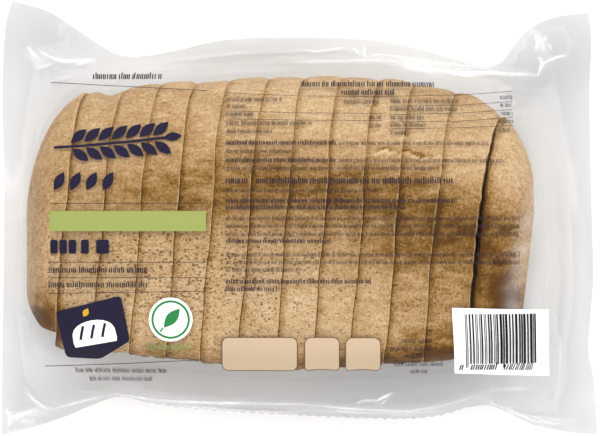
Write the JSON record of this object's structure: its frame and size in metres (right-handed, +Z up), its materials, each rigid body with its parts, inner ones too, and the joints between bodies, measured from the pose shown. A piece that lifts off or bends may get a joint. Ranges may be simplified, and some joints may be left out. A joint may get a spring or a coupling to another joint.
{
  "type": "sliced loaf in clear film pack",
  "caption": "Small sliced tin loaf sealed in clear film, lying on its flat side with crimped end seals, flared corners and a fin seal along the base.",
  "frame": {"origin": "middle of the pack's footprint, on the surface that it lies on", "axes": "+X along the loaf from the tight end to the loose end, +Y from the loaf's base to its dome, +Z up through the printed side"},
  "size_m": [0.21, 0.1526, 0.0644],
  "materials": {
    "film": "clear glossy film with fine creases",
    "crust": "baked crust, matte, mottled, with small pores",
    "print_dark": "dark blue ink on film",
    "print_green": "leaf green ink on film",
    "print_tan": "tan ink on film",
    "print_white": "white ink on film"
  },
  "bodies": {
    "root": {"bread_bag": "film"}
  },
  "joints": []
}
